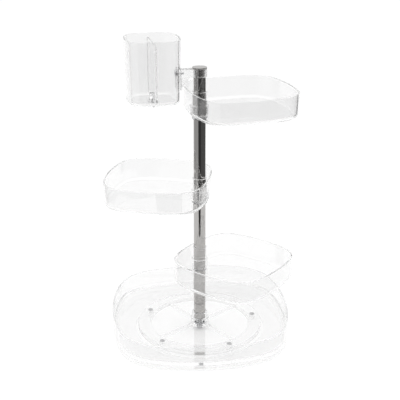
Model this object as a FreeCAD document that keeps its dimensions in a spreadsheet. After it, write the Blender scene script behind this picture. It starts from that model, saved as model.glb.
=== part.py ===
import FreeCAD, Part
import math
import os
import Sketcher
from FreeCAD import Placement, Rotation, Vector

# Rotating make-up organiser: three open swivel trays and a brush cup hang on a chromed pole,
# which stands in a wide tray that turns on a low foot.
# Millimetres, +Z up. The origin is on the table, on the pole's axis, which is also the
# centre of the foot. +X and +Y lie along the table.

os.makedirs("parts", exist_ok=True)
doc = FreeCAD.newDocument("makeup_organizer")

# ---------------------------------------------------------------- driving sizes
# Lengths in mm, angles in degrees. A level is a height above the table.
SIZES = {
    # running fits
    "running_gap": 0.08,
    "fit_gap": 0.25,
    "edge_break": 0.5,
    "thrust_gap": 0.3,
    # foot
    "stub_diameter": 8,
    "stub_height": 4.5,
    "pad_diameter": 7,
    "pad_recess": 0.8,
    "pad_circle_radius": 76.5,
    "pad_turn": 13.2,
    "ring_outer_radius": 86,
    "ring_inner_radius": 68,
    "ring_height": 5.8,
    "ring_edge_radius": 1.5,
    "spoke_width": 3,
    "spoke_height": 4,
    "spoke_turn": 41,
    "hub_diameter": 26,
    "washer_diameter": 22,
    "washer_thickness": 0.4,
    # base tray and its cover
    "base_half": 121,
    "base_side_radius": 250,
    "base_corner_radius": 65,
    "base_rim_level": 37.6,
    "base_floor_thickness": 2.6,
    "base_wall": 2.4,
    "base_draft": 1,
    "base_cove_radius": 5,
    "base_split_level": 8,
    "base_underside_level": 1,
    "base_edge_radius": 6.4,
    "base_turn": 4.3,
    "cover_thickness": 2.2,
    "cover_opening_radius": 89,
    # pole
    "pole_diameter": 16,
    "pole_wall": 1,
    "socket_lip_diameter": 25,
    "socket_lip_height": 3.5,
    "socket_neck_diameter": 21,
    "socket_height": 12.2,
    "spigot_length": 22,
    "screw_diameter": 6,
    "screw_shoulder_diameter": 8,
    "screw_head_diameter": 15,
    "screw_head_height": 2.2,
    "coupler_reach": 14,
    "collar_diameter": 19.6,
    "collar_height": 2,
    # swivel trays
    "tray_half": 69.4,
    "tray_side_radius": 178,
    "tray_corner_radius": 34,
    "tray_height": 32,
    "tray_wall": 2.3,
    "tray_floor": 2.5,
    "tray_draft": 1.5,
    "tray_edge_radius": 6,
    "tray_cove_radius": 4,
    "tray_reach": 55.7,
    "bush_diameter": 18.8,
    "bush_flange_diameter": 21,
    "bush_flange_height": 1,
    "boss_diameter": 22.4,
    "boss_height": 12,
    "bottom_level": 92.9,
    "middle_level": 191.8,
    "top_level": 308.1,
    "bottom_turn": -36.5,
    "middle_turn": 168.8,
    "top_turn": 19.2,
    # brush cup on its bracket
    "cup_half": 34.7,
    "cup_side_radius": 89,
    "cup_corner_radius": 17,
    "cup_height": 81,
    "cup_drop": 29.5,
    "cup_wall": 2,
    "cup_floor": 2.5,
    "cup_draft": 1.2,
    "cup_edge_radius": 6,
    "cup_cove_radius": 4,
    "cup_reach": 60.3,
    "cup_turn": 192,
    "cup_foot_diameter": 13,
    "cup_foot_height": 2.2,
    "divider_thickness": 2,
    "divider_drop": 5,
    "divider_gap": 0.15,
    "divider_stem_diameter": 9,
    "divider_stem_height": 9,
    "divider_screw_diameter": 2.5,
    "divider_screw_head": 5,
    "divider_screw_head_height": 1.4,
    "divider_screw_length": 7,
    "bracket_ring_diameter": 19,
    "bracket_ring_level": 359.5,
    "bracket_ring_height": 10,
    "bracket_arm_width": 12,
    "bracket_pad_width": 18,
    "bracket_pad_height": 26,
    "bracket_pad_rise": 1.5,
    "bracket_pad_thickness": 3.2,
    "bracket_rib_thickness": 3.5,
    "bracket_rib_inset": 11.5,
    "cup_screw_height": 35,
    "cup_screw_diameter": 3,
    "cup_screw_head_diameter": 9,
    "cup_screw_head_height": 2.2,
    "cup_screw_length": 8,
    # cap
    "cap_diameter": 19.4,
    "cap_rim_height": 1.8,
    "cap_dome_height": 1,
    "cap_stem_diameter": 12,
    "cap_tail_diameter": 8,
    "cap_tail_length": 12,
    "plug_length": 16,
}
PAD_COUNT = 5
SPOKE_COUNT = 4

sheet = doc.addObject("Spreadsheet::Sheet", "Sizes")
for row, (alias, size) in enumerate(SIZES.items(), start=1):
    sheet.set(f"A{row}", alias)
    sheet.set(f"B{row}", str(size))
    sheet.setAlias(f"B{row}", alias)
doc.recompute()


# ---------------------------------------------------------------- helpers
def bound(text):
    """Turns 'pole_diameter / 2' into an expression on the sheet."""
    words = []
    for word in text.replace("(", " ( ").replace(")", " ) ").split():
        words.append(f"Sizes.{word}" if word in SIZES else word)
    joined = " ".join(words)
    for function in ("sin", "cos", "tan"):
        joined = joined.replace(f"{function} (", f"{function}(")
    return joined


def value(text):
    """The number that an expression has now."""
    number = sheet.evalExpression(bound(text))
    return float(getattr(number, "Value", number))


def new_body(label, turn=None, level=None):
    """A body on the pole's axis, turned about it and lifted to a level."""
    body = doc.addObject("PartDesign::Body", label)
    body.Label = label
    if turn:
        body.Placement = Placement(Vector(0, 0, 0), Rotation(Vector(0, 0, 1), value(turn)))
        body.setExpression("Placement.Rotation.Angle", bound(turn))
    if level:
        body.setExpression("Placement.Base.z", bound(level))
    return body


def origin_plane(body, role):
    return next(item for item in body.Origin.OriginFeatures if item.Role == role)


def new_sketch(body, name, role="XY_Plane", lift=None, reach=None):
    """A sketch on one of the body's own planes, lifted off it and moved along X."""
    sketch = body.newObject("Sketcher::SketchObject", f"{body.Name}_{name}")
    sketch.AttachmentSupport = [(origin_plane(body, role), "")]
    sketch.MapMode = "FlatFace"
    if lift:
        sketch.setExpression("AttachmentOffset.Base.z", bound(lift))
    if reach:
        sketch.setExpression("AttachmentOffset.Base.x", bound(reach))
    return sketch


def dimension(sketch, kind, *places, size):
    """A driving dimension whose size comes from the sheet."""
    index = sketch.addConstraint(Sketcher.Constraint(kind, *places, value(size)))
    sketch.setExpression(f"Constraints[{index}]", bound(size))


def circle_sketch(body, name, radii, lift=None, reach=None, at=None):
    """Circles about one centre; at is how far along X the centre lies."""
    sketch = new_sketch(body, name, lift=lift, reach=reach)
    for radius in radii:
        centre = Vector(value(at), 0, 0) if at else Vector(0, 0, 0)
        circle = sketch.addGeometry(Part.Circle(centre, Vector(0, 0, 1), value(radius)))
        dimension(sketch, "Radius", circle, size=radius)
        if at:
            sketch.addConstraint(Sketcher.Constraint("PointOnObject", circle, 3, -1))
            dimension(sketch, "DistanceX", -1, 1, circle, 3, size=at)
        else:
            sketch.addConstraint(Sketcher.Constraint("Coincident", circle, 3, -1, 1))
    return sketch


def polygon_sketch(body, name, corners, role="XY_Plane", lift=None, reach=None):
    """A closed outline of straight lines; each corner is a pair of expressions."""
    sketch = new_sketch(body, name, role, lift, reach)
    points = [Vector(value(x), value(y), 0) for x, y in corners]
    for here, after in zip(points, points[1:] + points[:1]):
        sketch.addGeometry(Part.LineSegment(here, after))
    for index, (x, y) in enumerate(corners):
        before = (index - 1) % len(corners)
        sketch.addConstraint(Sketcher.Constraint("Coincident", before, 2, index, 1))
        for kind, axis, size in (("DistanceX", -2, x), ("DistanceY", -1, y)):
            if size == "0":
                sketch.addConstraint(Sketcher.Constraint("PointOnObject", index, 1, axis))
            else:
                dimension(sketch, kind, -1, 1, index, 1, size=size)
    return sketch


def squircle_sketch(body, name, half, side_radius, corner_radius, lift=None, reach=None):
    """A square with bowed sides: four side arcs and four corner arcs, all tangent."""
    sketch = new_sketch(body, name, lift=lift, reach=reach)
    side, corner = value(side_radius), value(corner_radius)
    set_back = side - value(half)
    offset = (math.sqrt(2 * (side - corner) ** 2 - set_back ** 2) - set_back) / 2
    spread = math.atan2(offset, offset + set_back)
    for quarter in range(4):
        turn = quarter * math.pi / 2
        across = Rotation(Vector(0, 0, 1), math.degrees(turn))
        side_circle = Part.Circle(across.multVec(Vector(-set_back, 0, 0)), Vector(0, 0, 1), side)
        corner_circle = Part.Circle(across.multVec(Vector(offset, offset, 0)), Vector(0, 0, 1), corner)
        sketch.addGeometry(Part.ArcOfCircle(side_circle, turn - spread, turn + spread))
        sketch.addGeometry(Part.ArcOfCircle(corner_circle, turn + spread, turn + math.pi / 2 - spread))
    for index in range(8):
        sketch.addConstraint(Sketcher.Constraint("Tangent", index, 2, (index + 1) % 8, 1))
    for index in (2, 4, 6):
        sketch.addConstraint(Sketcher.Constraint("Equal", 0, index))
        sketch.addConstraint(Sketcher.Constraint("Equal", 1, index + 1))
    dimension(sketch, "Radius", 0, size=side_radius)
    dimension(sketch, "Radius", 1, size=corner_radius)
    bow = f"{side_radius} - ( {half} )"
    for index, axis, kind in ((0, -1, "DistanceX"), (2, -2, "DistanceY")):
        sketch.addConstraint(Sketcher.Constraint("PointOnObject", index, 3, axis))
        sketch.addConstraint(Sketcher.Constraint("PointOnObject", index + 4, 3, axis))
        dimension(sketch, kind, index, 3, -1, 1, size=bow)
        dimension(sketch, kind, -1, 1, index + 4, 3, size=bow)
    return sketch


def extrude(body, sketch, length, kind="Pad", down=False, taper=None):
    """A pad or pocket of the sketch, up or down from it, with the wall's draft."""
    feature = body.newObject(f"PartDesign::{kind}", f"{sketch.Name}_{kind.lower()}")
    feature.Profile = sketch
    feature.setExpression("Length", bound(length))
    feature.Reversed = down == (kind == "Pad")
    if taper:
        feature.setExpression("TaperAngle", bound(taper))
    doc.recompute()
    return feature


def revolve(body, sketch):
    feature = body.newObject("PartDesign::Revolution", f"{sketch.Name}_turned")
    feature.Profile = sketch
    feature.ReferenceAxis = (sketch, ["V_Axis"])
    feature.Angle = 360
    doc.recompute()
    return feature


def repeat_round(body, feature, count):
    """Copies a feature evenly about the body's Z axis."""
    pattern = body.newObject("PartDesign::PolarPattern", f"{feature.Name}_pattern")
    pattern.Originals = [feature]
    pattern.Axis = (next(item for item in body.Origin.OriginFeatures if item.Role == "Z_Axis"), [""])
    pattern.Angle = 360
    pattern.Occurrences = count
    body.Tip = pattern
    doc.recompute()
    return pattern


def level_edges(feature, level, keep=lambda edge: True):
    """Names of the feature's edges that lie flat at a level of its body."""
    names = []
    for index, edge in enumerate(feature.Shape.Edges, start=1):
        box = edge.BoundBox
        if abs(box.ZMin - level) < 0.01 and abs(box.ZMax - level) < 0.01 and keep(edge):
            names.append(f"Edge{index}")
    return names


def round_edges(body, feature, names, radius):
    fillet = body.newObject("PartDesign::Fillet", f"{feature.Name}_round")
    fillet.Base = (feature, names)
    fillet.setExpression("Radius", bound(radius))
    doc.recompute()
    return fillet


def turned_body(label, profile, turn=None, level=None):
    """A lathe-turned piece: its profile is a list of radius and height expressions."""
    body = new_body(label, turn, level)
    revolve(body, polygon_sketch(body, "profile", profile, "XZ_Plane"))
    return body


def squircle_shell(body, name, half, height, wall, floor, draft, edge_radius, cove_radius, reach=None):
    """An open drafted box with bowed sides, a rounded lower edge and a coved floor.
    Its underside is at level 0 of the body and its rim at the height."""
    radii = [f"{name}_side_radius", f"{name}_corner_radius"]
    outline = squircle_sketch(body, "rim_outside", half, *radii, lift=height, reach=reach)
    block = extrude(body, outline, height, down=True, taper=f"0 - {draft}")
    block = round_edges(body, block, level_edges(block, 0), edge_radius)
    inner_radii = [f"{radius} - {wall}" for radius in radii]
    inside = squircle_sketch(body, "rim_inside", f"{half} - {wall}", *inner_radii, lift=height, reach=reach)
    hollow = extrude(body, inside, f"{height} - {floor}", "Pocket", down=True, taper=f"0 - {draft}")
    return round_edges(body, hollow, level_edges(hollow, value(floor)), cove_radius)


# ---------------------------------------------------------------- levels
RING_TOP = "( stub_height + ring_height )"
FLOOR_UNDERSIDE = f"( {RING_TOP} + washer_thickness + thrust_gap )"
FLOOR_TOP = f"( {FLOOR_UNDERSIDE} + base_floor_thickness )"
SOCKET_TOP = f"( {FLOOR_TOP} + socket_height )"
CAP_SEAT = "( bracket_ring_level - thrust_gap )"
CUP_LEVEL = "( bracket_ring_level - cup_drop )"
TUBE_BORE = "( pole_diameter / 2 - pole_wall )"
TRAYS = ("bottom", "middle", "top")


def collar_top(tray):
    return f"( {tray}_level - bush_flange_height - thrust_gap )"


# ---------------------------------------------------------------- foot
def circle_round(body, name, radius, lift=None):
    """A circle beside the axis, on the pads' circle and at the first pad's angle."""
    sketch = new_sketch(body, name, lift=lift)
    sketch.setExpression("AttachmentOffset.Rotation.Angle", bound("pad_turn - spoke_turn + 360"))
    circle = sketch.addGeometry(Part.Circle(Vector(value("pad_circle_radius"), 0, 0), Vector(0, 0, 1),
                                            value(radius)))
    sketch.addConstraint(Sketcher.Constraint("PointOnObject", circle, 3, -1))
    dimension(sketch, "DistanceX", -1, 1, circle, 3, size="pad_circle_radius")
    dimension(sketch, "Radius", circle, size=radius)
    return sketch


def make_foot():
    """A flat ring, hub and four spokes on short stubs, all one moulding, with seats for the pads."""
    body = new_body("turntable_foot", "spoke_turn", "stub_height")
    ring_sketch = circle_sketch(body, "ring", ["ring_outer_radius", "ring_inner_radius"])
    ring = extrude(body, ring_sketch, "ring_height")
    ring = round_edges(body, ring, level_edges(ring, value("ring_height")), "ring_edge_radius")
    near, far, half = "hub_diameter / 4", "ring_inner_radius + 2", "spoke_width / 2"
    corners = [(near, f"0 - {half}"), (far, f"0 - {half}"), (far, half), (near, half)]
    spoke_sketch = polygon_sketch(body, "spoke", corners, lift="ring_height - spoke_height")
    spoke = extrude(body, spoke_sketch, "spoke_height")
    repeat_round(body, spoke, SPOKE_COUNT)
    extrude(body, circle_sketch(body, "hub", ["hub_diameter / 2"]), "ring_height")
    bore = circle_sketch(body, "bore", ["screw_shoulder_diameter / 2 + running_gap"])
    extrude(body, bore, "ring_height", "Pocket")
    stub = extrude(body, circle_round(body, "stub", "stub_diameter / 2"), "stub_height", down=True)
    repeat_round(body, stub, PAD_COUNT)
    seat = circle_round(body, "pad_seat", "pad_diameter / 2", lift="ring_height - pad_recess")
    recess = extrude(body, seat, "pad_recess", "Pocket")
    repeat_round(body, recess, PAD_COUNT)
    return body


def make_foot_pads():
    """Low discs let into the ring's top, on which the base turns; one node of separate solids."""
    pads = []
    for index in range(PAD_COUNT):
        pad = doc.addObject("Part::Cylinder", f"pad_{index + 1}")
        pad.setExpression("Radius", bound("pad_diameter / 2"))
        pad.setExpression("Height", bound("pad_recess + washer_thickness"))
        angle = f"( pad_turn + {index * 360 / PAD_COUNT} )"
        pad.setExpression("Placement.Base.x", bound(f"pad_circle_radius * cos {angle}"))
        pad.setExpression("Placement.Base.y", bound(f"pad_circle_radius * sin {angle}"))
        pad.setExpression("Placement.Base.z", bound(f"{RING_TOP} - pad_recess"))
        pads.append(pad)
    group = doc.addObject("Part::Compound", "foot_pads")
    group.Links = pads
    return group


def make_hub_washer():
    body = new_body("hub_washer", level=RING_TOP)
    radii = ["washer_diameter / 2", "screw_shoulder_diameter / 2 + running_gap"]
    extrude(body, circle_sketch(body, "washer", radii), "washer_thickness")
    return body


# ---------------------------------------------------------------- base
SPLIT_HALF = "( base_half - ( base_rim_level - base_split_level ) * tan ( base_draft ) )"


def make_base_tray():
    """The wide tray: its floor stands above the foot, and its wall runs on below the floor."""
    body = new_body("base_tray", "base_turn", "base_split_level")
    wall_height = "base_rim_level - base_split_level"
    radii = ["base_side_radius", "base_corner_radius"]
    inner_radii = [f"{radius} - base_wall" for radius in radii]
    outline = squircle_sketch(body, "rim_outside", "base_half", *radii, lift=wall_height)
    extrude(body, outline, wall_height, down=True, taper="0 - base_draft")
    inside = squircle_sketch(body, "rim_inside", "base_half - base_wall", *inner_radii, lift=wall_height)
    depth = f"base_rim_level - {FLOOR_TOP}"
    hollow = extrude(body, inside, depth, "Pocket", down=True, taper="0 - base_draft")
    floor_level = value(f"{FLOOR_TOP} - base_split_level")
    round_edges(body, hollow, level_edges(hollow, floor_level), "base_cove_radius")
    below = squircle_sketch(body, "underside", f"{SPLIT_HALF} - base_wall", *inner_radii)
    extrude(body, below, f"{FLOOR_UNDERSIDE} - base_split_level", "Pocket")
    hole = circle_sketch(body, "screw_hole", ["screw_shoulder_diameter / 2"])
    extrude(body, hole, f"{FLOOR_TOP} - base_split_level", "Pocket")
    return body


def make_base_cover():
    """The rounded lower edge of the base, with a round opening for the foot."""
    body = new_body("base_cover", "base_turn", "base_underside_level")
    height = "base_split_level - base_underside_level"
    radii = ["base_side_radius", "base_corner_radius"]
    inner_radii = [f"{radius} - base_wall" for radius in radii]
    outline = squircle_sketch(body, "top_outside", SPLIT_HALF, *radii, lift=height)
    block = extrude(body, outline, height, down=True, taper="0 - base_draft")
    round_edges(body, block, level_edges(block, 0), "base_edge_radius")
    inside = squircle_sketch(body, "top_inside", f"{SPLIT_HALF} - base_wall", *inner_radii, lift=height)
    hollow = extrude(body, inside, f"{height} - cover_thickness", "Pocket", down=True, taper="0 - base_draft")
    names = level_edges(hollow, value("cover_thickness"))
    round_edges(body, hollow, names, "base_edge_radius - cover_thickness")
    extrude(body, circle_sketch(body, "opening", ["cover_opening_radius"]), "cover_thickness", "Pocket")
    return body


def make_pivot_screw():
    """Shoulder screw up through the hub and the base's floor into the pole's socket."""
    head, shoulder, thread = "screw_head_diameter / 2", "screw_shoulder_diameter / 2", "screw_diameter / 2"
    seat = "( stub_height - thrust_gap )"
    shoulder_end = f"{FLOOR_TOP} - {seat}"
    thread_end = f"{shoulder_end} + socket_height + spigot_length / 2"
    profile = [("0", "0 - screw_head_height"), (f"{head} - edge_break", "0 - screw_head_height"),
               (head, "edge_break - screw_head_height"), (head, "0"), (shoulder, "0"),
               (shoulder, shoulder_end), (thread, shoulder_end), (thread, thread_end), ("0", thread_end)]
    return turned_body("pivot_screw", profile, level=seat)


# ---------------------------------------------------------------- pole
def make_pole_socket():
    """Flanged plug that stands on the base's floor; the lowest tube pushes over its spigot."""
    bore, neck, lip = "screw_diameter / 2", "socket_neck_diameter / 2", "socket_lip_diameter / 2"
    spigot_top = "socket_height + spigot_length"
    profile = [(bore, "0"), (lip, "0"), (lip, "socket_lip_height - edge_break"),
               (f"{lip} - edge_break", "socket_lip_height"), (neck, "socket_lip_height"),
               (neck, "socket_height - edge_break"), (f"{neck} - edge_break", "socket_height"),
               (TUBE_BORE, "socket_height"), (TUBE_BORE, spigot_top), (bore, spigot_top)]
    return turned_body("pole_socket", profile, level=FLOOR_TOP)


def make_pole_tube(number, foot_level, head_level):
    body = new_body(f"pole_tube_{number}", level=foot_level)
    outline = circle_sketch(body, "wall", ["pole_diameter / 2", TUBE_BORE])
    extrude(body, outline, f"{head_level} - {foot_level}")
    return body


def make_stop_collar(tray):
    """Ring held between two tube ends, which carries the tray above it."""
    rim = "collar_diameter / 2"
    profile = [(TUBE_BORE, "0"), (f"{rim} - edge_break", "0"), (rim, "edge_break"),
               (rim, "collar_height"), (TUBE_BORE, "collar_height")]
    return turned_body(f"stop_collar_{tray}", profile, level=f"{collar_top(tray)} - collar_height")


def make_coupler(tray):
    """Solid plug that joins two tubes inside, through the stop collar."""
    low, high = "0 - coupler_reach", "collar_height + coupler_reach"
    profile = [("0", low), (f"{TUBE_BORE} - edge_break", low), (TUBE_BORE, "edge_break - coupler_reach"),
               (TUBE_BORE, f"{high} - edge_break"), (f"{TUBE_BORE} - edge_break", high), ("0", high)]
    return turned_body(f"pole_coupler_{tray}", profile, level=f"{collar_top(tray)} - collar_height")


def make_top_plug():
    """Tapped plug in the end of the highest tube."""
    tail = "cap_tail_diameter / 2"
    depth = "0 - cap_tail_length"
    profile = [("0", "0 - plug_length"), (TUBE_BORE, "0 - plug_length"), (TUBE_BORE, "0"),
               (tail, "0"), (tail, depth), ("0", depth)]
    return turned_body("top_plug", profile, level=CAP_SEAT)


def make_top_cap():
    """Domed cap in one piece with the stem on which the cup's bracket turns."""
    body = new_body("top_cap", level=CAP_SEAT)
    tail, stem, rim = "cap_tail_diameter / 2", "cap_stem_diameter / 2", "cap_diameter / 2"
    stem_top = "bracket_ring_height + 2 * thrust_gap"
    rim_top = f"{stem_top} + cap_rim_height"
    dome_top = f"{rim_top} + cap_dome_height"
    outline = [("0", "0 - cap_tail_length"), (tail, "0 - cap_tail_length"), (tail, "0"), (stem, "0"),
               (stem, stem_top), (rim, stem_top), (rim, rim_top), ("0", rim_top)]
    revolve(body, polygon_sketch(body, "profile", outline, "XZ_Plane"))
    dome = new_sketch(body, "dome", "XZ_Plane")
    radius, rise, base = value(rim), value("cap_dome_height"), value(rim_top)
    sphere = (radius ** 2 + rise ** 2) / (2 * rise)
    tilt = math.asin(radius / sphere)
    circle = Part.Circle(Vector(0, base + rise - sphere, 0), Vector(0, 0, 1), sphere)
    dome.addGeometry(Part.ArcOfCircle(circle, math.pi / 2 - tilt, math.pi / 2))
    dome.addGeometry(Part.LineSegment(Vector(0, base + rise, 0), Vector(0, base, 0)))
    dome.addGeometry(Part.LineSegment(Vector(0, base, 0), Vector(radius, base, 0)))
    for here, after in ((0, 1), (1, 2), (2, 0)):
        dome.addConstraint(Sketcher.Constraint("Coincident", here, 2, after, 1))
    dome.addConstraint(Sketcher.Constraint("PointOnObject", 0, 3, -2))
    dome.addConstraint(Sketcher.Constraint("Vertical", 1))
    dome.addConstraint(Sketcher.Constraint("PointOnObject", 1, 1, -2))
    dome.addConstraint(Sketcher.Constraint("Horizontal", 2))
    dimension(dome, "DistanceY", -1, 1, 1, 1, size=dome_top)
    dimension(dome, "DistanceY", -1, 1, 2, 1, size=rim_top)
    dimension(dome, "DistanceX", -1, 1, 2, 2, size=rim)
    revolve(body, dome)
    return body


# ---------------------------------------------------------------- swivel trays
def make_tray(tray):
    """One open tray with its boss; the pole's axis is inside the tray, near one side."""
    body = new_body(f"tray_{tray}", f"{tray}_turn", f"{tray}_level")
    squircle_shell(body, "tray", "tray_half", "tray_height", "tray_wall", "tray_floor", "tray_draft",
                   "tray_edge_radius", "tray_cove_radius", reach="tray_reach")
    extrude(body, circle_sketch(body, "boss", ["boss_diameter / 2"], lift="tray_floor"), "boss_height")
    bore = circle_sketch(body, "bore", ["bush_diameter / 2"])
    extrude(body, bore, "tray_floor + boss_height", "Pocket")
    return body


def make_bush(tray):
    """Sleeve pressed into the tray's boss, which runs on the pole."""
    bore, sleeve, flange = "pole_diameter / 2 + running_gap", "bush_diameter / 2", "bush_flange_diameter / 2"
    under = "0 - bush_flange_height"
    profile = [(bore, under), (flange, under), (flange, "0"), (sleeve, "0"),
               (sleeve, "tray_height - edge_break"), (f"{sleeve} - edge_break", "tray_height"),
               (bore, "tray_height")]
    return turned_body(f"tray_bush_{tray}", profile, level=f"{tray}_level")


# ---------------------------------------------------------------- brush cup
def cup_face(level, wall="0"):
    """How far from the pole the cup's near wall stands at a level of the cup."""
    return f"( cup_reach - cup_half + {wall} + ( cup_height - ( {level} ) ) * tan ( cup_draft ) )"


SCREW_HEAD = f"( {cup_face('cup_screw_height', 'cup_wall')} + fit_gap )"
SCREW_TIP = f"( {SCREW_HEAD} - cup_screw_length )"


def side_circle(body, name, radius, height, lift):
    """A circle that faces along the arm, at a height of the body."""
    sketch = new_sketch(body, name, "YZ_Plane", lift=lift)
    circle = sketch.addGeometry(Part.Circle(Vector(0, value(height), 0), Vector(0, 0, 1), value(radius)))
    sketch.addConstraint(Sketcher.Constraint("PointOnObject", circle, 3, -2))
    dimension(sketch, "DistanceY", -1, 1, circle, 3, size=height)
    dimension(sketch, "Radius", circle, size=radius)
    return sketch


def make_cup():
    body = new_body("brush_cup", "cup_turn", CUP_LEVEL)
    squircle_shell(body, "cup", "cup_half", "cup_height", "cup_wall", "cup_floor", "cup_draft",
                   "cup_edge_radius", "cup_cove_radius", reach="cup_reach")
    foot = circle_sketch(body, "foot", ["cup_foot_diameter / 2"], at="cup_reach")
    extrude(body, foot, "cup_foot_height", down=True)
    hole = circle_sketch(body, "screw_hole", ["divider_screw_diameter / 2"], lift="0 - cup_foot_height",
                         at="cup_reach")
    extrude(body, hole, "cup_foot_height + cup_floor", "Pocket")
    clamp = side_circle(body, "clamp_hole", "cup_screw_diameter / 2", "cup_screw_height",
                        f"{cup_face('cup_screw_height')} - cup_wall")
    extrude(body, clamp, "3 * cup_wall", "Pocket")
    return body


def make_divider():
    """Upright panel across the cup, narrowing with the cup's draft, on a tapped stem."""
    body = new_body("cup_divider", "cup_turn", CUP_LEVEL)
    inside = "( cup_half - cup_wall - divider_gap )"
    low_half = f"( {inside} - ( cup_height - cup_floor - cup_cove_radius ) * tan ( cup_draft ) )"
    high_half = f"( {inside} - divider_drop * tan ( cup_draft ) )"
    low, knee, high = "cup_floor", "cup_floor + cup_cove_radius", "cup_height - divider_drop"
    right = [(f"{low_half} - cup_cove_radius", low), (low_half, knee), (high_half, high)]
    left = [(f"0 - ( {x} )", y) for x, y in reversed(right)]
    panel = polygon_sketch(body, "panel", right + left, "YZ_Plane", lift="cup_reach - divider_thickness / 2")
    extrude(body, panel, "divider_thickness")
    stem = circle_sketch(body, "stem", ["divider_stem_diameter / 2"], lift="cup_floor", at="cup_reach")
    extrude(body, stem, "divider_stem_height")
    hole = circle_sketch(body, "hole", ["divider_screw_diameter / 2"], lift="cup_floor", at="cup_reach")
    extrude(body, hole, "divider_screw_length - cup_floor - cup_foot_height", "Pocket")
    return body


def make_divider_screw():
    """Small screw up through the cup's foot into the divider."""
    head, shank = "divider_screw_head / 2", "divider_screw_diameter / 2"
    under = "0 - divider_screw_head_height"
    profile = [("0", under), (f"{head} - edge_break", under), (head, f"{under} + edge_break"), (head, "0"),
               (shank, "0"), (shank, "divider_screw_length"), ("0", "divider_screw_length")]
    screw = turned_body("divider_screw", profile, level=f"{CUP_LEVEL} - cup_foot_height")
    screw.setExpression("Placement.Base.x", bound("cup_reach * cos ( cup_turn )"))
    screw.setExpression("Placement.Base.y", bound("cup_reach * sin ( cup_turn )"))
    return screw


def make_cup_screw():
    """Clamp screw along the arm, with its broad head inside the cup."""
    body = new_body("cup_screw", "cup_turn", f"{CUP_LEVEL} + cup_screw_height")
    head, shank = "cup_screw_head_diameter / 2", "cup_screw_diameter / 2"
    head_end = f"{SCREW_HEAD} + cup_screw_head_height"
    profile = [(SCREW_TIP, "0"), (SCREW_TIP, shank), (SCREW_HEAD, shank), (SCREW_HEAD, head),
               (f"{head_end} - edge_break", head), (head_end, f"{head} - edge_break"), (head_end, "0")]
    sketch = polygon_sketch(body, "profile", profile, "XZ_Plane")
    screw = revolve(body, sketch)
    screw.ReferenceAxis = (sketch, ["H_Axis"])
    return body


def make_bracket():
    """Ring on the cap's stem, with an arm, a rib and a plate shaped to the cup's wall."""
    body = new_body("bracket_blank", "cup_turn", "bracket_ring_level")
    radii = ["bracket_ring_diameter / 2", "cap_stem_diameter / 2 + running_gap"]
    extrude(body, circle_sketch(body, "ring", radii), "bracket_ring_height")
    plate_top = "( bracket_ring_height + bracket_pad_rise )"
    plate_foot = f"( {plate_top} - bracket_pad_height )"
    wall = cup_face(f"cup_drop + {plate_foot}")
    plate_back = f"( {wall} - bracket_pad_thickness )"
    arm_start = "( ( bracket_ring_diameter + cap_stem_diameter ) / 4 - edge_break )"
    half_arm, half_plate = "bracket_arm_width / 2", "bracket_pad_width / 2"
    arm_corners = [(arm_start, f"0 - {half_arm}"), (wall, f"0 - {half_arm}"), (wall, half_arm),
                   (arm_start, half_arm)]
    extrude(body, polygon_sketch(body, "arm", arm_corners), "bracket_ring_height")
    into_cup = f"{wall} + cup_wall / 2"
    plate_corners = [(plate_back, f"0 - {half_plate}"), (into_cup, f"0 - {half_plate}"),
                     (into_cup, half_plate), (plate_back, half_plate)]
    plate = extrude(body, polygon_sketch(body, "plate", plate_corners, lift=plate_foot), "bracket_pad_height")
    upright = [f"Edge{index}" for index, edge in enumerate(plate.Shape.Edges, start=1)
               if abs(edge.Length - value("bracket_pad_height")) < 0.01
               and abs(edge.BoundBox.Center.x - value(plate_back)) < 0.01]
    round_edges(body, plate, upright, "bracket_pad_thickness / 2")
    rib_end = f"{plate_back} + edge_break"
    rib_corners = [("bracket_rib_inset", "edge_break"), (rib_end, f"{plate_foot} + edge_break"),
                   (rib_end, "edge_break")]
    rib = polygon_sketch(body, "rib", rib_corners, "XZ_Plane", lift="0 - bracket_rib_thickness / 2")
    extrude(body, rib, "bracket_rib_thickness")
    bore = side_circle(body, "screw_bore", "cup_screw_diameter / 2", "cup_screw_height - cup_drop",
                       SCREW_TIP)
    extrude(body, bore, "cup_screw_length + cup_wall", "Pocket")
    envelope = new_body("cup_envelope", "cup_turn", CUP_LEVEL)
    outline = squircle_sketch(envelope, "outline", "cup_half", "cup_side_radius", "cup_corner_radius",
                              lift="cup_height", reach="cup_reach")
    extrude(envelope, outline, "cup_height", down=True, taper="0 - cup_draft")
    bracket = doc.addObject("Part::Cut", "cup_bracket")
    bracket.Base = body
    bracket.Tool = envelope
    return bracket


# ---------------------------------------------------------------- the assembly
nodes = [make_foot(), make_foot_pads(), make_hub_washer(), make_base_tray(), make_base_cover(),
         make_pivot_screw(), make_pole_socket()]
tube_feet = [SOCKET_TOP] + [collar_top(tray) for tray in TRAYS]
tube_heads = [f"( {collar_top(tray)} - collar_height )" for tray in TRAYS] + [CAP_SEAT]
for number, (foot_level, head_level) in enumerate(zip(tube_feet, tube_heads), start=1):
    nodes.append(make_pole_tube(number, foot_level, head_level))
for tray in TRAYS:
    nodes += [make_stop_collar(tray), make_coupler(tray), make_tray(tray), make_bush(tray)]
nodes += [make_top_plug(), make_top_cap(), make_cup(), make_divider(), make_divider_screw(),
          make_cup_screw(), make_bracket()]
doc.recompute()

for item in doc.Objects:
    if {"Invalid", "Error"} & set(item.State):
        raise RuntimeError(f"{item.Label} did not build: {item.State}")
for node in nodes:
    if node.Shape.isNull() or not node.Shape.isValid():
        raise RuntimeError(f"{node.Label} has no valid shape")
    node.Shape.exportStep(f"parts/{node.Label}.step")
    box = node.Shape.BoundBox
    print(f"{node.Label:20s} {len(node.Shape.Solids)} solid(s) {node.Shape.Volume / 1000:8.2f} cm3"
          f"  z {box.ZMin:7.2f} to {box.ZMax:7.2f}")
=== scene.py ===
import math

import bmesh
import bpy
from mathutils import Matrix, Vector


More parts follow.
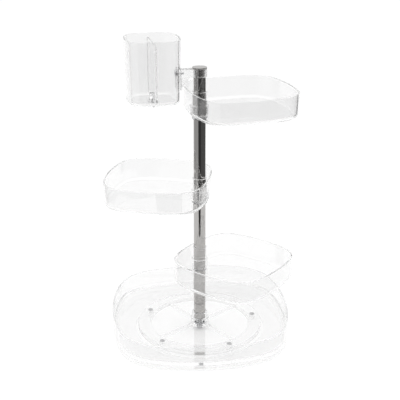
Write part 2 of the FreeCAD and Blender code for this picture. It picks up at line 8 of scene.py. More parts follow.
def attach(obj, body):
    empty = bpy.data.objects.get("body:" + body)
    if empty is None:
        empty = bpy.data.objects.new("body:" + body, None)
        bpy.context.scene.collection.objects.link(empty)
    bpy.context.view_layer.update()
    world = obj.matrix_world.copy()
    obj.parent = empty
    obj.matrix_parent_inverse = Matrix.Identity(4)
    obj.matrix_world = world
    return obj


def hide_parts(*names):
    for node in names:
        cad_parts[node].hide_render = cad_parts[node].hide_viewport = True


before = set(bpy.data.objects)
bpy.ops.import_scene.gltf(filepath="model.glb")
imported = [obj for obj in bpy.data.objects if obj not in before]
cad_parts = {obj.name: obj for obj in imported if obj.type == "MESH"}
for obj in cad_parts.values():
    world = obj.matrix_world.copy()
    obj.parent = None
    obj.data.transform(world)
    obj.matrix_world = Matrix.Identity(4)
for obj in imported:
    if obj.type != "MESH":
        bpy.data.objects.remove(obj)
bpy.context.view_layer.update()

mm = 0.001
seam = 0.03  # mm of air between pieces that touch, as clear ones show
scene = bpy.context.scene


class NodeDesk:
    # short ways to add and join nodes in one tree
    def __init__(self, tree):
        self.tree = tree

    def add(self, kind, inputs=None, **settings):
        node = self.tree.nodes.new(kind)
        for key, setting in settings.items():
            setattr(node, key, setting)
        for key, source in (inputs or {}).items():
            self.plug(node.inputs[key], source)
        return node

    def plug(self, socket, source):
        if isinstance(source, bpy.types.NodeSocket):
            self.tree.links.new(source, socket)
        else:
            socket.default_value = source

    def calc(self, operation, *sources):
        node = self.add("ShaderNodeMath", dict(enumerate(sources)), operation=operation)
        return node.outputs[0]


# materials: rough is the (low, high) roughness over the noise levels in spots, and bump is (metres, strength)

finishes = {
    "clear": {"colour": (0.952, 0.952, 0.952), "ior": 1.49, "clarity": 1.0, "shade": 0.995,
              "grain": 60.0, "spots": (0.5, 0.75), "rough": (0.0, 0.012)},
    "satin": {"colour": (0.952, 0.952, 0.952), "ior": 1.49, "clarity": 1.0, "shade": 0.995,
              "grain": 300.0, "spots": (0.5, 0.75), "rough": (0.27, 0.33)},
    "frosted": {"colour": (0.93, 0.94, 0.95), "ior": 1.46, "clarity": 0.85, "shade": 0.85,
                "grain": 900.0, "spots": (0.35, 0.7), "rough": (0.16, 0.28)},
    "chrome": {"colour": (0.46, 0.45, 0.44), "grain": 45.0, "stretch": 0.25, "spots": (0.35, 0.7),
               "rough": (0.03, 0.09), "lines": 30.0, "lineStretch": 0.02, "bump": (0.00001, 0.25)},
    "pad": {"colour": (0.37, 0.37, 0.375), "grain": 1600.0, "spots": (0.35, 0.7),
            "rough": (0.55, 0.8), "bump": (0.00005, 0.5)},
    "steel": {"colour": (0.62, 0.62, 0.63), "grain": 700.0, "spots": (0.35, 0.7), "rough": (0.22, 0.38)},
    # the floor's grey levels are a painted pool of overhead light: lighter near the object and darker further
    # out
    "floor": {"near": 0.96, "far": 0.918, "paintedPoolFade": (0.45, 1.3), "grain": 3.0, "spots": (0.35, 0.7),
              "rough": (0.85, 0.95)},
}


def newMaterial(name):
    material = bpy.data.materials.new(name)
    material.use_nodes = True
    return material, NodeDesk(material.node_tree), material.node_tree.nodes["Principled BSDF"]


def noiseOn(desk, scale, stretch=1.0):
    # a stretch under 1 draws the pattern out along Z
    coords = desk.add("ShaderNodeTexCoord")
    place = desk.add("ShaderNodeMapping", {"Vector": coords.outputs["Object"], "Scale": (1.0, 1.0, stretch)})
    noise = desk.add("ShaderNodeTexNoise", {"Vector": place.outputs["Vector"], "Scale": scale, "Detail": 3.0})
    return noise.outputs["Fac"]


def spread(desk, source, ends, span, interpolation="LINEAR"):
    ramp = desk.add("ShaderNodeMapRange", {"Value": source, "From Min": span[0], "From Max": span[1],
                                           "To Min": ends[0], "To Max": ends[1]},
                    interpolation_type=interpolation)
    return ramp.outputs["Result"]


def roughen(desk, shader, look):
    grain = noiseOn(desk, look["grain"], look.get("stretch", 1.0))
    desk.plug(shader.inputs["Roughness"], spread(desk, grain, look["rough"], look["spots"]))
    return grain


def addBump(desk, shader, height, bump):
    distance, strength = bump
    node = desk.add("ShaderNodeBump", {"Height": height, "Distance": distance, "Strength": strength})
    desk.plug(shader.inputs["Normal"], node.outputs["Normal"])


def mixSurface(desk, factor, plain, other):
    # plain where the factor is 0, other where it is 1
    mix = desk.add("ShaderNodeMixShader", {"Fac": factor, 1: plain, 2: other})
    desk.plug(desk.tree.nodes["Material Output"].inputs["Surface"], mix.outputs["Shader"])


def makePlastic(kind, name):
    # the wall lets lamp light pass, so it throws almost no shadow
    look = finishes[kind]
    material, desk, shader = newMaterial(name)
    desk.plug(shader.inputs["Base Color"], (*look["colour"], 1.0))
    desk.plug(shader.inputs["IOR"], look["ior"])
    desk.plug(shader.inputs["Transmission Weight"], look["clarity"])
    roughen(desk, shader, look)
    path = desk.add("ShaderNodeLightPath").outputs
    onward = desk.calc("MAXIMUM", path["Is Shadow Ray"], path["Is Diffuse Ray"])
    shade = look["shade"]
    window = desk.add("ShaderNodeBsdfTransparent", {"Color": (shade, shade, shade, 1.0)})
    mixSurface(desk, onward, shader.outputs["BSDF"], window.outputs["BSDF"])
    return material


def makeMetal(kind, name):
    look = finishes[kind]
    material, desk, shader = newMaterial(name)
    desk.plug(shader.inputs["Base Color"], (*look["colour"], 1.0))
    desk.plug(shader.inputs["Metallic"], 1.0)
    roughen(desk, shader, look)
    if "lines" in look:
        addBump(desk, shader, noiseOn(desk, look["lines"], look["lineStretch"]), look["bump"])
    return material


def makePadFinish():
    look = finishes["pad"]
    material, desk, shader = newMaterial("darkPad")
    desk.plug(shader.inputs["Base Color"], (*look["colour"], 1.0))
    addBump(desk, shader, roughen(desk, shader, look), look["bump"])
    return material


def makeFloorWithPaintedPool():
    look = finishes["floor"]
    material, desk, shader = newMaterial("paleFloorPaintedPool")
    # painted pool of light: the base colour is lighter near the object and darker with distance, in place of
    # an overhead lamp
    coords = desk.add("ShaderNodeTexCoord")
    away = desk.add("ShaderNodeVectorMath", {0: coords.outputs["Object"]}, operation="LENGTH")
    grey = spread(desk, away.outputs["Value"], (look["near"], look["far"]), look["paintedPoolFade"])
    desk.plug(shader.inputs["Base Color"], grey)
    roughen(desk, shader, look)
    desk.plug(shader.inputs["Specular IOR Level"], 0.0)
    return material


clearFinish = makePlastic("clear", "clearMoulding")
satinFinish = makePlastic("satin", "satinMoulding")
frostedFinish = makePlastic("frosted", "frostedSleeve")
chromeFinish = makeMetal("chrome", "mirrorTube")
padFinish = makePadFinish()
steelFinish = makeMetal("steel", "screwSteel")
print("materials made")


# shaping helpers

def roundedPath(corners, steps=14, hold=0.35, closed=False):
    # corners are (x, y, radius) in mm; straight runs keep a point near each end so shading stays flat
    points = []
    count = len(corners)
    for index, (x, y, radius) in enumerate(corners):
        here = Vector((x, y))
        if not closed and index in (0, count - 1):
            points.append(here)
            continue
        before = Vector(corners[index - 1][:2])
        after = Vector(corners[(index + 1) % count][:2])
        inward = (before - here).normalized()
        outward = (after - here).normalized()
        if radius == 0:
            points.append(here)
            continue
        half = math.acos(max(-1.0, min(1.0, inward.dot(outward)))) / 2
        reach = radius / math.tan(half)
        centre = here + (inward + outward).normalized() * (radius / math.sin(half))
        start = here + inward * reach
        finish = here + outward * reach
        points.append(start + inward * hold)
        startAngle = math.atan2(start.y - centre.y, start.x - centre.x)
        finishAngle = math.atan2(finish.y - centre.y, finish.x - centre.x)
        turn = (finishAngle - startAngle + math.pi) % (2 * math.pi) - math.pi
        for step in range(steps + 1):
            angle = startAngle + turn * step / steps
            points.append(centre + Vector((math.cos(angle), math.sin(angle))) * radius)
        points.append(finish + outward * hold)
    return points


def sectionCurve(name, points, closed):
    data = bpy.data.curves.new(name, "CURVE")
    data.dimensions = "3D"
    spline = data.splines.new("POLY")
    spline.points.add(len(points) - 1)
    for target, point in zip(spline.points, points):
        target.co = (point.x * mm, -point.y * mm, 0.0, 1.0)  # the sweep turns a section's Y downwards
    spline.use_cyclic_u = closed
    section = bpy.data.objects.new(name, data)
    scene.collection.objects.link(section)
    return section


def buildWallSweep():
    # one tree for every moulded wall and every ring: a wall section carried round a bowed square.
    # with all radii equal to the half width the square is a circle
    tree = bpy.data.node_groups.new("wallSweep", "GeometryNodeTree")
    face = tree.interface
    face.new_socket(name="Section", in_out="INPUT", socket_type="NodeSocketObject")
    for label in ("Side Radius", "Corner Radius", "Side Centre", "Corner Centre", "Side Spread", "Reach"):
        face.new_socket(name=label, in_out="INPUT", socket_type="NodeSocketFloat")
    face.new_socket(name="Outline Points", in_out="INPUT", socket_type="NodeSocketInt")
    face.new_socket(name="Finish", in_out="INPUT", socket_type="NodeSocketMaterial")
    face.new_socket(name="Geometry", in_out="OUTPUT", socket_type="NodeSocketGeometry")
    desk = NodeDesk(tree)
    given = desk.add("NodeGroupInput").outputs
    circle = desk.add("GeometryNodeCurvePrimitiveCircle", {"Resolution": given["Outline Points"]},
                      mode="RADIUS")
    index = desk.add("GeometryNodeInputIndex").outputs[0]
    angle = desk.calc("MULTIPLY", desk.calc("DIVIDE", index, given["Outline Points"]), 2 * math.pi)
    quarter = desk.calc("FLOOR", desk.calc("ADD", desk.calc("DIVIDE", angle, math.pi / 2), 0.5))
    turn = desk.calc("MULTIPLY", quarter, math.pi / 2)
    local = desk.calc("SUBTRACT", angle, turn)
    onSide = desk.calc("LESS_THAN", desk.calc("ABSOLUTE", local), given["Side Spread"])
    onCorner = desk.calc("SUBTRACT", 1.0, onSide)
    radius = desk.calc("ADD", desk.calc("MULTIPLY", onSide, given["Side Radius"]),
                       desk.calc("MULTIPLY", onCorner, given["Corner Radius"]))
    centreX = desk.calc("SUBTRACT", desk.calc("MULTIPLY", onCorner, given["Corner Centre"]),
                        desk.calc("MULTIPLY", onSide, given["Side Centre"]))
    centreY = desk.calc("MULTIPLY", desk.calc("SIGN", local),
                        desk.calc("MULTIPLY", onCorner, given["Corner Centre"]))
    along = desk.calc("ADD", centreX, desk.calc("MULTIPLY", radius, desk.calc("COSINE", local)))
    across = desk.calc("ADD", centreY, desk.calc("MULTIPLY", radius, desk.calc("SINE", local)))
    spot = desk.add("ShaderNodeCombineXYZ", {"X": along, "Y": across}).outputs[0]
    turned = desk.add("ShaderNodeVectorRotate", {"Vector": spot, "Angle": turn}, rotation_type="Z_AXIS")
    shift = desk.add("ShaderNodeCombineXYZ", {"X": given["Reach"]})
    outline = desk.add("GeometryNodeSetPosition", {"Geometry": circle.outputs["Curve"],
                                                   "Position": turned.outputs[0],
                                                   "Offset": shift.outputs[0]})
    upright = desk.add("GeometryNodeSetCurveNormal", {"Curve": outline.outputs["Geometry"]}, mode="Z_UP")
    wall = desk.add("GeometryNodeObjectInfo", {"Object": given["Section"]}, transform_space="ORIGINAL")
    swept = desk.add("GeometryNodeCurveToMesh", {"Curve": upright.outputs["Curve"],
                                                 "Profile Curve": wall.outputs["Geometry"]})
    real = desk.add("GeometryNodeRealizeInstances", {"Geometry": swept.outputs["Mesh"]})
    coat = desk.add("GeometryNodeSetMaterial", {"Geometry": real.outputs["Geometry"],
                                                "Material": given["Finish"]})
    desk.add("NodeGroupOutput", {"Geometry": coat.outputs["Geometry"]})
    return tree


wallSweep = buildWallSweep()


def squareSizes(half, side, corner, reach=0.0):
    # arcs of a square with bowed sides, tangent to one another
    setBack = side - half
    offset = (math.sqrt(max(0.0, 2 * (side - corner) ** 2 - setBack ** 2)) - setBack) / 2
    angle = math.atan2(offset, offset + setBack) if side > corner else math.pi
    return {"Side Radius": side * mm, "Corner Radius": corner * mm, "Side Centre": setBack * mm,
            "Corner Centre": offset * mm, "Side Spread": angle, "Reach": reach * mm}


def roundSizes(radius):
    return squareSizes(radius, radius, radius)


def runTree(name, tree, inputs):
    # evaluates a node tree on an empty mesh and keeps the result as a plain mesh
    holder = bpy.data.objects.new(name, bpy.data.meshes.new(name))
    scene.collection.objects.link(holder)
    modifier = holder.modifiers.new("nodes", "NODES")
    modifier.node_group = tree
    for item in tree.interface.items_tree:
        if item.in_out == "INPUT" and item.name in inputs:
            modifier[item.identifier] = inputs[item.name]
    bpy.context.view_layer.update()
    graph = bpy.context.evaluated_depsgraph_get()
    mesh = bpy.data.meshes.new_from_object(holder.evaluated_get(graph), depsgraph=graph)
    mesh.name = name
    bpy.data.objects.remove(holder)
    return mesh


def sweep(name, sizes, points, finish, closed=False, outlinePoints=240):
    section = sectionCurve(name + "Section", points, closed)
    inputs = dict(sizes)
    inputs.update({"Section": section, "Outline Points": outlinePoints, "Finish": finish})
    mesh = runTree(name, wallSweep, inputs)
    bpy.data.objects.remove(section)
    return mesh


def openMesh(mesh):
    shape = bmesh.new()
    shape.from_mesh(mesh)
    shape.verts.ensure_lookup_table()
    return shape


def closeMesh(shape, mesh, sharp=35.0):
    bmesh.ops.recalc_face_normals(shape, faces=shape.faces)
    for face in shape.faces:
        face.smooth = True
    limit = math.radians(sharp)
    for edge in shape.edges:
        edge.smooth = len(edge.link_faces) != 2 or edge.calc_face_angle(0.0) < limit
    shape.to_mesh(mesh)
    shape.free()
    return mesh


def bridge(shape, first, second):
    count = len(first)
    for index in range(count):
        after = (index + 1) % count
        shape.faces.new((first[index], first[after], second[after], second[index]))


def ringSpot(point, angle):
    # a section's point, in mm, carried round the axis
    return (point.x * mm * math.cos(angle), point.x * mm * math.sin(angle), point.y * mm)


def turnedMesh(name, path, finish, count=96):
    # path runs from the axis to the axis, in mm
    mesh = bpy.data.meshes.new(name)
    shape = bmesh.new()
    rings = []
    for point in path[1:-1]:
        ring = []
        for index in range(count):
            angle = 2 * math.pi * index / count
            ring.append(shape.verts.new(ringSpot(point, angle)))
        rings.append(ring)
    for lower, upper in zip(rings, rings[1:]):
        bridge(shape, lower, upper)
    for end, ring in ((path[0], rings[0]), (path[-1], rings[-1])):
        pole = shape.verts.new((0.0, 0.0, end.y * mm))
        for index in range(count):
            shape.faces.new((pole, ring[index], ring[(index + 1) % count]))
    closeMesh(shape, mesh)
    mesh.materials.append(finish)
    return mesh


def placePiece(name, mesh, body, nodes, turn=0.0, level=0.0):
    mesh.transform(Matrix.Translation((0, 0, level * mm)) @ Matrix.Rotation(math.radians(turn), 4, "Z"))
    piece = bpy.data.objects.new(name, mesh)
    scene.collection.objects.link(piece)
    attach(piece, body)
    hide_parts(*nodes)
    return piece


def cutWith(mesh, tools):
    # joins or cuts plain cylinders: (operation, radius, low, high, x, count) in mm
    work = bpy.data.objects.new("work", mesh)
    scene.collection.objects.link(work)
    helpers = []
    for operation, radius, low, high, x, count in tools:
        tool = bpy.data.meshes.new("tool")
        shape = bmesh.new()
        bmesh.ops.create_cone(shape, cap_ends=True, segments=count, radius1=radius * mm,
                              radius2=radius * mm, depth=(high - low) * mm)
        shape.to_mesh(tool)
        shape.free()
        tool.transform(Matrix.Translation((x * mm, 0, (low + high) / 2 * mm)))
        helper = bpy.data.objects.new("tool", tool)
        scene.collection.objects.link(helper)
        helpers.append(helper)
        cut = work.modifiers.new("cut", "BOOLEAN")
        cut.operation = operation
        cut.solver = "EXACT"
        cut.object = helper
    bpy.context.view_layer.update()
    graph = bpy.context.evaluated_depsgraph_get()
    result = bpy.data.meshes.new_from_object(work.evaluated_get(graph), depsgraph=graph)
    bpy.data.objects.remove(work)
    for helper in helpers:
        bpy.data.objects.remove(helper)
    shape = openMesh(result)
    bmesh.ops.remove_doubles(shape, verts=shape.verts, dist=1e-7)
    return closeMesh(shape, result, 30.0)


def capEnds(mesh, stations):
    # flat faces over the two open edges of a swept wall
    shape = openMesh(mesh)
    count = len(shape.verts) // stations
    for station in (0, stations - 1):
        shape.faces.new([shape.verts[index * stations + station] for index in range(count)])
    closeMesh(shape, mesh)
    return mesh


# swivel trays, in mm and degrees: places give each one's level and turn

trayShape = {
    "half": 69.4, "side": 178.0, "corner": 34.0, "reach": 55.7,
    "height": 32.0, "wall": 2.3, "floor": 2.5, "draft": 1.5,
    "edge": 6.0, "cove": 4.0, "rim": 0.45,
    "boss": 11.2, "bossHeight": 12.0, "bore": 9.4,
    "places": (("bottom", 92.9, -36.5), ("middle", 191.8, 168.8), ("top", 308.1, 19.2)),
}


def shellSection(size):
    # outside from the foot up, over the rim and down to the floor; the draft is in degrees
    slope = math.tan(math.radians(size["draft"]))
    outer = size["height"] * slope
    inner = size["wall"] + (size["height"] - size["floor"]) * slope
    run = 1.6  # flat floor carried past the curves
    return roundedPath([
        (-outer - size["edge"] - run, 0.0, 0.0),
        (-outer, 0.0, size["edge"]),
        (0.0, size["height"], size["rim"]),
        (-size["wall"], size["height"], size["rim"]),
        (-inner, size["floor"], size["cove"]),
        (-inner - size["cove"] - run, size["floor"], 0.0),
    ])


def makeTray(place, level, turn):
    size = trayShape
    section = shellSection(size)
    sizes = squareSizes(size["half"], size["side"], size["corner"], size["reach"])
    mesh = capEnds(sweep("tray", sizes, section, clearFinish), len(section))
    top = size["floor"] + size["bossHeight"]
    mesh = cutWith(mesh, [("UNION", size["boss"], 0.0, top, 0.0, 96),
                          ("DIFFERENCE", size["bore"], -2.0, top + 2.0, 0.0, 96)])
    return placePiece(f"swivelTray_{place}", mesh, f"{place}_tray", [f"tray_{place}"],
                      turn, level)


for place, level, turn in trayShape["places"]:
    makeTray(place, level, turn)
print("trays made")


# wide base: tray above the split, rounded cover below it

baseShape = {
    "half": 121.0, "side": 250.0, "corner": 65.0, "turn": 4.3, "draft": 1.0,
    "rim": 37.6, "split": 8.0, "floorTop": 13.6, "floorUnder": 11.0, "wall": 2.4,
    "cove": 5.0, "edge": 6.4, "low": 1.0, "coverFloor": 3.2, "opening": 89.0, "hole": 4.0,
    "outlinePoints": 320,
}


def makeBaseTray():
    size = baseShape
    slope = math.tan(math.radians(size["draft"]))
    low = (size["rim"] - size["split"]) * slope
    inner = size["wall"] + (size["rim"] - size["floorTop"]) * slope
    section = roundedPath([
        (-low - size["wall"] - 3.0, size["floorUnder"], 0.0),
        (-low - size["wall"], size["floorUnder"], 0.8),
        (-low - size["wall"], size["split"], 0.15),
        (-low, size["split"], 0.3),
        (0.0, size["rim"], 0.5),
        (-size["wall"], size["rim"], 0.5),
        (-inner, size["floorTop"], size["cove"]),
        (-inner - size["cove"] - 2.0, size["floorTop"], 0.0),
    ], hold=0.25)
    sizes = squareSizes(size["half"], size["side"], size["corner"])
    mesh = sweep("baseTray", sizes, section, clearFinish, outlinePoints=size["outlinePoints"])
    mesh = cutWith(capEnds(mesh, len(section)),
                   [("DIFFERENCE", size["hole"], size["floorUnder"] - 2, size["floorTop"] + 2, 0.0, 64)])
    return placePiece("wideBaseTray", mesh, "turntable", ["base_tray"], size["turn"])


def makeBaseCover():
    size = baseShape
    slope = math.tan(math.radians(size["draft"]))
    top = (size["rim"] - size["split"]) * slope
    low = (size["rim"] - size["low"]) * slope
    inner = size["wall"] + (size["rim"] - size["coverFloor"]) * slope
    cove = size["edge"] - (size["coverFloor"] - size["low"])
    section = roundedPath([
        (-low - size["edge"] - 2.0, size["low"], 0.0),
        (-low, size["low"], size["edge"]),
        (-top, size["split"] - seam, 0.3),
        (-top - size["wall"], size["split"] - seam, 0.15),
        (-inner, size["coverFloor"], cove),
        (-inner - cove - 2.0, size["coverFloor"], 0.0),
    ], hold=0.1)
    sizes = squareSizes(size["half"], size["side"], size["corner"])
    mesh = sweep("baseCover", sizes, section, clearFinish, outlinePoints=size["outlinePoints"])
    shape = openMesh(mesh)
    stations = len(section)
    count = len(shape.verts) // stations
    floorEdge = [shape.verts[index * stations + stations - 1] for index in range(count)]
    underEdge = [shape.verts[index * stations] for index in range(count)]
    lip = roundedPath([
        (size["opening"] + 3.0, size["coverFloor"], 0.0),
        (size["opening"], size["coverFloor"], 0.4),
        (size["opening"], size["low"], 0.4),
        (size["opening"] + 3.0, size["low"], 0.0),
    ], steps=4)
    previous = floorEdge
    for point in lip:
        ring = []
        for vertex in floorEdge:
            ring.append(shape.verts.new(ringSpot(point, math.atan2(vertex.co.y, vertex.co.x))))
        bridge(shape, previous, ring)
        previous = ring
    bridge(shape, previous, underEdge)
    closeMesh(shape, mesh)
    return placePiece("wideBaseCover", mesh, "turntable", ["base_cover"], size["turn"])


makeBaseTray()
makeBaseCover()
print("base made")


# pole: tubes, rings that stop the trays, sleeves that turn with them

poleShape = {
    "radius": 8.0, "bore": 7.0,
    "tubes": ((1, 17.4, 89.6), (2, 91.6, 188.5), (3, 190.5, 304.8), (4, 306.8, 359.2)),
    "collars": (("bottom", 89.6), ("middle", 188.5), ("top", 304.8)),
    "collarRadius": 9.8, "collarHeight": 2.0,
    "sleeve": 9.4, "sleeveBore": 8.08, "flange": 10.5, "flangeHeight": 1.0,
}


def makeRing(name, corners, finish, body, nodes, level):
    # corners are (radius, height, softness)
    radius = max(x for x, y, softness in corners)
    points = roundedPath([(x - radius, y, softness) for x, y, softness in corners], steps=4, hold=0.15,
                         closed=True)
    mesh = sweep(name, roundSizes(radius), points, finish, closed=True, outlinePoints=96)
    closeMesh(openMesh(mesh), mesh)
    return placePiece(name, mesh, body, nodes, level=level)


def makePole():
    size = poleShape
    out, bore = size["radius"], size["bore"]
    for number, low, high in size["tubes"]:
        tall = high - low
        makeRing(f"poleTube_{number}",
                 [(bore, 0, 0.1), (out, 0, 0.15), (out, tall, 0.15), (bore, tall, 0.1)],
                 chromeFinish, "turntable", [f"pole_tube_{number}"], low)
    for place, low in size["collars"]:
        rim, tall = size["collarRadius"], size["collarHeight"]
        makeRing(f"stopCollar_{place}",
                 [(bore, 0, 0.05), (rim, 0, 0.45), (rim, tall, 0.2), (bore, tall, 0.05)],
                 frostedFinish, "turntable", [f"stop_collar_{place}"], low)


def makeSleeves():
    size = poleShape
    bore, sleeve, flange = size["sleeveBore"], size["sleeve"] - seam, size["flange"]
    under, tall = -size["flangeHeight"], trayShape["height"]
    for place, level, turn in trayShape["places"]:
        makeRing(f"traySleeve_{place}",
                 [(bore, under, 0.15), (flange, under, 0.3), (flange, -seam, 0.1), (sleeve, -seam, 0.1),
                  (sleeve, tall, 0.4), (bore, tall, 0.15)],
                 clearFinish, f"{place}_tray", [f"tray_bush_{place}"], level)


makePole()
makeSleeves()
print("pole made")


# end pieces of the pole

endShape = {
    "floor": 13.6, "lip": 12.5, "lipHeight": 3.5, "neck": 10.5, "height": 12.2, "seatGap": 0.2,
    "spigot": 7.0, "spigotHeight": 22.0, "bore": 3.0,
    "seat": 359.2, "cap": 9.7, "capRim": 1.8, "dome": 1.0, "domeSteps": 8, "domeEdge": 0.4,
    "stem": 6.0, "stemTop": 10.6, "tail": 4.0, "tailLength": 12.0,
}


def makeSocket():
    # the lowest tube stands in the neck
    size = endShape
    lift, tall, top = size["lipHeight"], size["height"], size["height"] + size["spigotHeight"]
    seat = lift + size["seatGap"]
    bore, spigot = poleShape["radius"] + seam, size["spigot"] - seam
    makeRing("poleSocket",
             [(size["bore"], seam, 0.1), (size["lip"], seam, 0.4), (size["lip"], lift, 0.7),
              (size["neck"], lift, 0.6), (size["neck"], tall, 0.6), (bore, tall, 0.3), (bore, seat, 0.1),
              (spigot, seat, 0.1), (spigot, top, 0.4), (size["bore"], top, 0.1)],
             clearFinish, "turntable", ["pole_socket"], size["floor"])


def makeCap():
    size = endShape
    rimTop = size["stemTop"] + size["capRim"]
    domeTop = rimTop + size["dome"]
    path = roundedPath([
        (0.0, -size["tailLength"], 0.0), (size["tail"], -size["tailLength"], 0.5),
        (size["tail"], 0.0, 0.1), (size["stem"], 0.0, 0.1),
        (size["stem"], size["stemTop"], 0.1), (size["cap"], size["stemTop"], 0.3), (size["cap"], rimTop, 0.5),
    ], hold=0.1)[:-1]
    sphere = (size["cap"] ** 2 + size["dome"] ** 2) / (2 * size["dome"])
    widest = math.asin((size["cap"] - size["domeEdge"]) / sphere)
    for step in range(size["domeSteps"]):
        angle = widest * (1 - step / size["domeSteps"])
        path.append(Vector((sphere * math.sin(angle), domeTop - sphere * (1 - math.cos(angle)))))
    path.append(Vector((0.0, domeTop)))
    mesh = turnedMesh("poleCap", path, chromeFinish)
    return placePiece("poleCap", mesh, "turntable", ["top_cap"], level=size["seat"])


makeSocket()
makeCap()
print("pole ends made")


# brush cup

cupShape = {
    "half": 34.7, "side": 89.0, "corner": 17.0, "reach": 60.3,
    "height": 81.0, "wall": 2.0, "floor": 2.5, "draft": 1.2,
    "edge": 6.0, "cove": 4.0, "rim": 0.4,
    "foot": 6.5, "footHeight": 2.2, "hole": 1.25, "level": 330.0, "turn": 192.0,
}


def makeCup():
    size = cupShape
    section = shellSection(size)
    sizes = squareSizes(size["half"], size["side"], size["corner"], size["reach"])
    mesh = capEnds(sweep("cup", sizes, section, clearFinish), len(section))
    under, axis = -size["footHeight"], size["reach"]
    mesh = cutWith(mesh, [("UNION", size["foot"], under, 1.0, axis, 64),
                          ("DIFFERENCE", size["hole"], under - 1, size["floor"] + 1, axis, 32)])
    return placePiece("brushCup", mesh, "cup", ["brush_cup"], size["turn"], size["level"])


def copyNode(node, name, finish, body):
    # a part straight from the frame, with its doubles merged and its faces drawn in by the seam
    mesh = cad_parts[node].data.copy()
    mesh.materials.clear()
    mesh.materials.append(finish)
    shape = openMesh(mesh)
    bmesh.ops.remove_doubles(shape, verts=shape.verts, dist=2e-6)
    bmesh.ops.dissolve_limit(shape, angle_limit=math.radians(0.5), verts=shape.verts, edges=shape.edges)
    shape.normal_update()
    inward = [(vertex, vertex.normal * seam * mm) for vertex in shape.verts]
    for vertex, step in inward:
        vertex.co -= step
    closeMesh(shape, mesh, 30.0)
    for polygon in mesh.polygons:
        polygon.material_index = 0
    return placePiece(name, mesh, body, [node])


smallParts = (
    ("cup_divider", "cupDivider", clearFinish, "cup", "clear_plastic"),
    ("cup_bracket", "cupBracket", satinFinish, "cup", "clear_plastic"),
    ("turntable_foot", "footMoulding", clearFinish, "foot", "clear_plastic"),
    ("foot_pads", "footPads", padFinish, "foot", "dark_plastic"),
    ("cup_screw", "cupClampScrew", steelFinish, "cup", "screw_steel"),
    ("divider_screw", "dividerScrew", steelFinish, "cup", "screw_steel"),
    ("pivot_screw", "pivotScrew", steelFinish, "turntable", "screw_steel"),
    ("hub_washer", "hubWasher", frostedFinish, "foot", "frosted_plastic"),
    ("pole_coupler_bottom", "poleCoupler_bottom", frostedFinish, "turntable", "frosted_plastic"),
    ("pole_coupler_middle", "poleCoupler_middle", frostedFinish, "turntable", "frosted_plastic"),
    ("pole_coupler_top", "poleCoupler_top", frostedFinish, "turntable", "frosted_plastic"),
    ("top_plug", "polePlug", frostedFinish, "turntable", "frosted_plastic"),
)

makeCup()
for node, name, finish, body, slot in smallParts:
    copyNode(node, name, finish, body)
print("cup and small parts made")


# studio: sky is the light's strength overhead, reached at skyTop; low down it is behind beyond the object and
# ahead on the camera's side; seen is the sky that the camera itself sees; tilt is in radians

studio = {
    "floor": 12.0, "sky": 1.3, "behind": 0.8, "ahead": 0.25, "skyTop": 0.9, "seen": 1.0,
    "cardGap": 0.0005, "cardRough": 0.9, "bounces": 300,
    "lens": 78.48, "sensor": 36.0, "camera": (0.0005, -1.0834, 0.6106), "tilt": 0.36856,
}
# cards lying on the table round a pale sheet, seen only in reflections: grey, and corners in metres
cards = (
    ("left", 0.48, ((-0.12, -0.6), (-0.5, -0.36), (-0.6, 0.0), (-0.5, 0.35), (-6.0, 4.2), (-6.0, -6.0),
                    (-1.2, -6.0))),
    ("right", 0.08, ((-0.12, -0.6), (-1.2, -6.0), (6.0, -6.0), (6.0, 6.0), (4.9, 6.0), (0.39, 0.46),
                     (0.6, 0.0), (0.5, -0.36), (0.12, -0.6))),
    ("ahead", 0.015, ((-0.1, -0.33), (-3.1, -6.0), (3.3, -6.0), (0.1, -0.33))),
)


def makeSheet(name, corners, level, material):
    mesh = bpy.data.meshes.new(name)
    mesh.from_pydata([(x, y, level) for x, y in corners], [], [tuple(range(len(corners)))])
    mesh.materials.append(material)
    sheet = bpy.data.objects.new(name, mesh)
    scene.collection.objects.link(sheet)
    return sheet


def makeFloor():
    half = studio["floor"] / 2
    corners = ((-half, -half), (half, -half), (half, half), (-half, half))
    makeSheet("studioFloor", corners, 0.0, makeFloorWithPaintedPool())


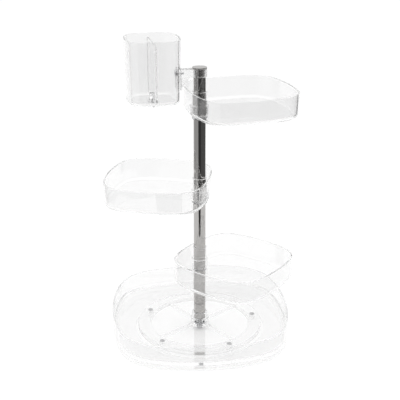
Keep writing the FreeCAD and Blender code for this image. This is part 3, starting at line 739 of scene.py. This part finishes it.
def makeCard(name, grey, corners, level):
    material, desk, shader = newMaterial("card_" + name)
    desk.plug(shader.inputs["Base Color"], (grey, grey, grey, 1.0))
    desk.plug(shader.inputs["Roughness"], studio["cardRough"])
    path = desk.add("ShaderNodeLightPath")
    window = desk.add("ShaderNodeBsdfTransparent")
    mirrored = desk.calc("GREATER_THAN", path.outputs["Glossy Depth"], 0.5)
    mixSurface(desk, mirrored, window.outputs["BSDF"], shader.outputs["BSDF"])
    card = makeSheet("studioCard_" + name, corners, level, material)
    card.visible_camera = False
    card.visible_diffuse = False
    card.visible_shadow = False


def makeSky():
    world = bpy.data.worlds.new("softbox")
    scene.world = world
    world.use_nodes = True
    desk = NodeDesk(world.node_tree)
    coords = desk.add("ShaderNodeTexCoord")
    split = desk.add("ShaderNodeSeparateXYZ", {0: coords.outputs["Generated"]}).outputs
    low = spread(desk, split["Y"], (studio["ahead"], studio["behind"]), (-0.5, 0.5), "SMOOTHSTEP")
    level = spread(desk, split["Z"], (low, studio["sky"]), (0.0, studio["skyTop"]), "SMOOTHSTEP")
    path = desk.add("ShaderNodeLightPath")
    seen = desk.add("ShaderNodeMix", {0: path.outputs["Is Camera Ray"], 2: level, 3: studio["seen"]})
    back = world.node_tree.nodes["Background"]
    desk.plug(back.inputs["Strength"], seen.outputs[0])
    desk.plug(back.inputs["Color"], (1.0, 1.0, 1.0, 1.0))


def makeCamera():
    data = bpy.data.cameras.new("camera")
    data.sensor_width = studio["sensor"]
    data.lens = studio["lens"]
    camera = bpy.data.objects.new("camera", data)
    camera.location = studio["camera"]
    camera.rotation_euler = (math.pi / 2 - studio["tilt"], 0.0, 0.0)
    scene.collection.objects.link(camera)
    scene.camera = camera


makeFloor()
for order, (name, grey, corners) in enumerate(cards, 1):
    makeCard(name, grey, corners, studio["cardGap"] * order)
makeSky()
makeCamera()
scene.view_settings.view_transform = "Standard"
# light runs a long way inside clear rims before it leaves them
scene.cycles.max_bounces = studio["bounces"]
scene.cycles.transmission_bounces = studio["bounces"]
scene.cycles.glossy_bounces = studio["bounces"]
scene.cycles.transparent_max_bounces = studio["bounces"]
print("studio made")
